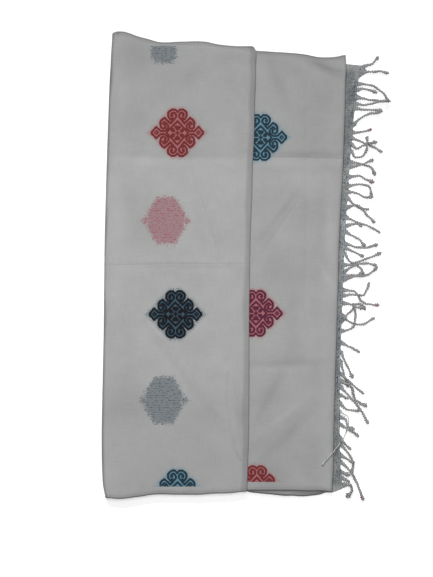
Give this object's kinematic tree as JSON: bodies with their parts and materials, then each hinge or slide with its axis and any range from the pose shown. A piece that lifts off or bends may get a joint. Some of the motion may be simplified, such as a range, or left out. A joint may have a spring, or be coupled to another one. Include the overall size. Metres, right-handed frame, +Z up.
{
  "type": "folded dupatta",
  "caption": "Folded cotton dupatta lying flat as a stepped parcel, with woven diamond motifs and one knotted fringed end showing.",
  "frame": {"origin": "on the flat underside, at the middle of the parcel's resting face", "axes": "+X along the cloth's length towards the fringed end, +Y across the loom width towards the back selvedge, +Z up from the surface that it lies on"},
  "size_m": [0.5768, 0.9364, 0.0168],
  "materials": {
    "ground_cotton": "fine unbleached cotton, plain weave with extra-weft diamond motifs, matt",
    "border_cotton": "grey-blue cotton end border in a coarser weave, matt",
    "fringe_yarn": "grey cotton warp yarn twisted into knotted strands, matt"
  },
  "bodies": {
    "root": {"top_panel": "ground_cotton", "middle_panel": "ground_cotton", "inner_layers": "ground_cotton", "end_border": "border_cotton", "fringe": "fringe_yarn"}
  },
  "joints": []
}
